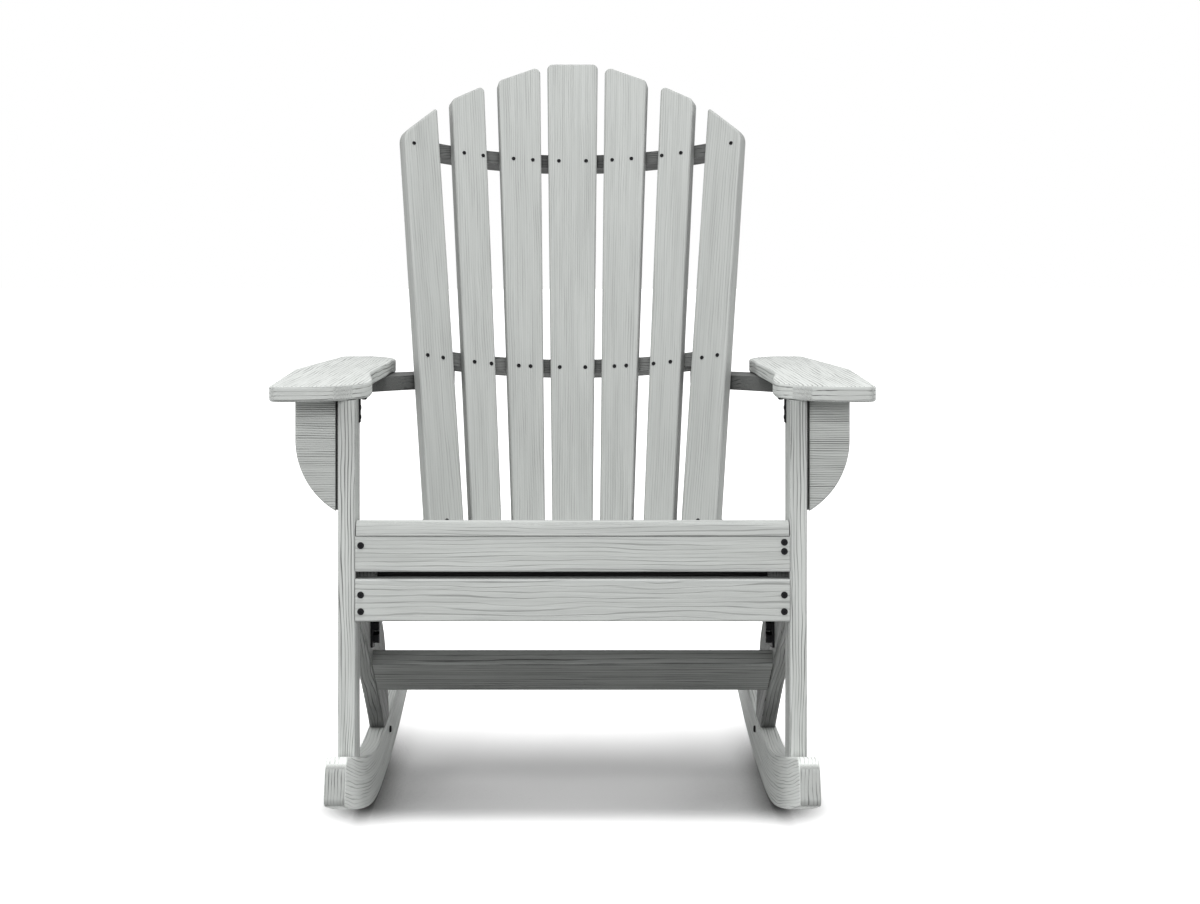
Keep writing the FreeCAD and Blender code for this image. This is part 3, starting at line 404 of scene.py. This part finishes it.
def dress(node, material):
    """Give a CAD node its material."""
    piece = frame["nodes"][node]
    piece.data.materials.clear()
    piece.data.materials.append(material)
    for polygon in piece.data.polygons:
        polygon.material_index = 0


def mesh_points(node):
    return [vertex.co for vertex in frame["nodes"][node].data.vertices]


def slat_direction(node):
    """Long axis of a back slat, from its mesh."""
    points = mesh_points(node)
    low, high = min(point.z for point in points), max(point.z for point in points)
    reach = (high - low) * SLAT_END_SHARE
    foot = [point for point in points if point.z < low + reach]
    head = [point for point in points if point.z > high - reach]
    return sum(head, Vector()) / len(head) - sum(foot, Vector()) / len(foot)


def rocker_low_y():
    """Place along the chair where the rockers touch the floor."""
    return min(mesh_points("rocker_left"), key=lambda point: point.z).y


def woods():
    """Kinds of board by the start of their names, a longer name before one that starts it."""
    # The third value of each kind paints light and shade: its paint is scaled darker or lighter
    # to stand in for how light falls on it, the back rails, arms' rear bars and stretcher
    # darker, the rockers lighter
    return {
        "rocker": Wood(LENGTHWISE, ACROSS, 1.35, pitch=0.0044, lines=0.6, wave=1.0, fibre=0.12,
                       end=0.55, low_y=rocker_low_y()),
        # Painted shade: the front legs darken towards the top under the arms, the struts towards
        # their feet
        "front_leg": Wood(UPRIGHT, FORWARD, 1.03, pitch=0.0040, lines=0.95, wave=1.4,
                          fibre=0.22, fade=(0.40, 0.57, 0.25)),
        "rear_strut": Wood(STRUT_FALL, ACROSS, 0.7, pitch=0.0042, lines=0.95, wave=1.5,
                           fibre=0.3, fade=(-0.13, -0.03, 0.55)),
        # Painted shade: the hidden cross rail is painted near black so the gap behind the front
        # boards shows dark
        "seat_cross_rail": Wood(ACROSS, FORWARD, 0.006),
        "seat_side_rail": Wood(SEAT_ALONG, ACROSS, 0.8, pitch=0.0055, lines=0.6),
        "seat_slat": Wood(ACROSS, UPRIGHT, 0.80, pitch=0.0055, lines=0.4, wave=0.9),
        "seat_rear": Wood(ACROSS, UPRIGHT, 0.80, pitch=0.0055, lines=0.4, wave=0.9),
        "seat_front": Wood(ACROSS, FORWARD, 0.93, pitch=0.0060, lines=0.45, wave=0.9),
        "front_apron": Wood(ACROSS, FORWARD, 0.93, pitch=0.0075, lines=0.45, wave=1.2),
        "stretcher": Wood(ACROSS, FORWARD, 0.66, pitch=0.0060, lines=0.8, wave=0.6, fibre=0.35),
        # Painted shade: the back rails and arms' rear bars are dark and darkest in corners near
        # the slats
        "upper_back_rail": Wood(ACROSS, UPRIGHT, 0.25, lines=0.8, dirt=0.97),
        "middle_back_rail": Wood(ACROSS, UPRIGHT, 0.45, lines=0.8, dirt=0.95),
        "lower_back_rail": Wood(ACROSS, UPRIGHT, 0.8),
        "arm_bracket": Wood(ACROSS, FORWARD, 0.95, pitch=0.0030, lines=0.95, wave=0.8),
        "arm_rear": Wood(ACROSS, UPRIGHT, 0.2, lines=0.8, dirt=0.9),
        "arm": Wood(LENGTHWISE, UPRIGHT, 1.0, pitch=0.0052, lines=0.75, wave=0.7, fibre=0.12),
    }


def slat_wood(node):
    # Painted shade: the slats' paint is scaled darker than the arms'
    return Wood(slat_direction(node), FORWARD, 0.66, pitch=0.0036, lines=0.35, wave=0.7,
                fibre=0.14)


def dress_boards():
    """A wood of its own for every board, with the grain along the board."""
    kinds = woods()
    shared = {"black_steel": steel_material(), "raw_wood": bare_material()}
    slots = {row["node"]: row["material_slot"] for row in frame["record"]["subparts"]}
    for seed, node in enumerate(sorted(frame["nodes"])):
        if slots[node] in shared:
            dress(node, shared[slots[node]])
            continue
        if node.startswith("back_slat"):
            wood = slat_wood(node)
        else:
            wood = kinds[next(key for key in kinds if node.startswith(key))]
        dress(node, board_material("wood_" + node, wood, seed))


def seen_directly(graph):
    """1 for rays from the camera and from glossy surfaces, 0 for those that only give light."""
    path = graph.add("ShaderNodeLightPath")
    return graph.math("MAXIMUM", path.outputs["Is Camera Ray"], path.outputs["Is Glossy Ray"])


def shadow_room(graph):
    """1 on the floor below the chair, falling softly to 0 outside the rockers and beyond."""
    x, y, _ = graph.split(graph.add("ShaderNodeTexCoord").outputs["Object"])
    rocker_in = abs(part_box("rocker_left")[1].x)
    side_start, side_end = (rocker_in + step for step in SHADOW_SIDE_FADE)
    front_start, front_end = (SHADOW_FRONT + step for step in SHADOW_FRONT_FADE)
    side = graph.span(graph.math("ABSOLUTE", x), side_start, side_end, 1.0, 0.0)
    front = graph.span(y, front_start, front_end)
    rear = graph.span(y, SHADOW_REAR + SHADOW_REAR_FADE, SHADOW_REAR, 1.0, 0.0)
    return graph.math("MULTIPLY", graph.math("MULTIPLY", side, front), rear)


def floor_material():
    """Matt floor whose glow paints light over the chair's shadows outside their room, and which
    has painted shade and a painted contact shadow close to the chair.
    """
    material, shader, graph = new_material("floor")
    shader.inputs["Roughness"].default_value = 1.0
    shader.inputs["Specular IOR Level"].default_value = 0.0
    seen = seen_directly(graph)
    # Painted shade near the chair and a painted contact shadow where the rockers touch the floor
    near_shade = graph.span(graph.openness(FLOOR_SHADE_REACH), *FLOOR_SHADE)
    contact_shadow = graph.span(graph.openness(FLOOR_CONTACT_SHADOW_REACH), *FLOOR_CONTACT_SHADOW_SPAN)
    shade = graph.mix(contact_shadow, graph.mix(near_shade, FLOOR_SHADED, FLOOR_PALE), FLOOR_CONTACT_SHADOW)
    graph.link(graph.mix(seen, FLOOR_UNSEEN, shade), shader.inputs["Base Color"])

    # Painted light: the floor glows to the camera outside the shadow's room, painting out the
    # chair's shadows there, and a faint glow lifts the shadow inside
    glow = graph.add("ShaderNodeEmission")
    glow.inputs["Color"].default_value = (*WHITE, 1)
    outside = graph.math("SUBTRACT", 1.0, shadow_room(graph))
    strength = graph.math("MULTIPLY", seen, graph.math("ADD", outside, FLOOR_GLOW))
    graph.link(strength, glow.inputs["Strength"])
    both = graph.add("ShaderNodeAddShader")
    graph.link(shader.outputs["BSDF"], both.inputs[0])
    graph.link(glow.outputs["Emission"], both.inputs[1])
    output = next(node for node in graph.tree.nodes if node.type == "OUTPUT_MATERIAL")
    graph.link(both.outputs["Shader"], output.inputs["Surface"])
    return material


def floor():
    """Pale floor that shows white to the camera and keeps the chair's shadow only below the
    chair.
    """
    half = FLOOR_HALF
    corners = [(-half, -half, 0), (half, -half, 0), (half, half, 0), (-half, half, 0)]
    mesh = bpy.data.meshes.new("floor")
    mesh.from_pydata(corners, [], [(0, 1, 2, 3)])
    mesh.materials.append(floor_material())
    ground = bpy.data.objects.new("floor", mesh)
    bpy.context.scene.collection.objects.link(ground)


def background(graph, strength):
    node = graph.add("ShaderNodeBackground")
    node.inputs["Color"].default_value = (*WHITE, 1)
    node.inputs["Strength"].default_value = strength
    return node.outputs["Background"]


def world():
    """Soft even light, which the camera sees as white."""
    studio = bpy.data.worlds.new("studio")
    bpy.context.scene.world = studio
    studio.use_nodes = True
    studio.node_tree.nodes.clear()
    graph = Graph(studio.node_tree)
    output = graph.add("ShaderNodeOutputWorld")
    mix = graph.add("ShaderNodeMixShader")
    sources = (seen_directly(graph), background(graph, SOFT_LIGHT), background(graph, 1.0))
    for slot, source in enumerate(sources):
        graph.link(source, mix.inputs[slot])
    graph.link(mix.outputs["Shader"], output.inputs["Surface"])


def lights():
    for name, place, target, size, power in LAMPS:
        data = bpy.data.lights.new(name, "AREA")
        data.shape = "SQUARE"
        data.size = size
        data.energy = power
        light = bpy.data.objects.new(name, data)
        light.location = place
        way = Vector(target) - Vector(place)
        light.rotation_euler = way.to_track_quat("-Z", "Y").to_euler()
        bpy.context.scene.collection.objects.link(light)


bpy.context.scene.view_settings.view_transform = "Standard"
camera()
floor()
world()
lights()
dress_boards()
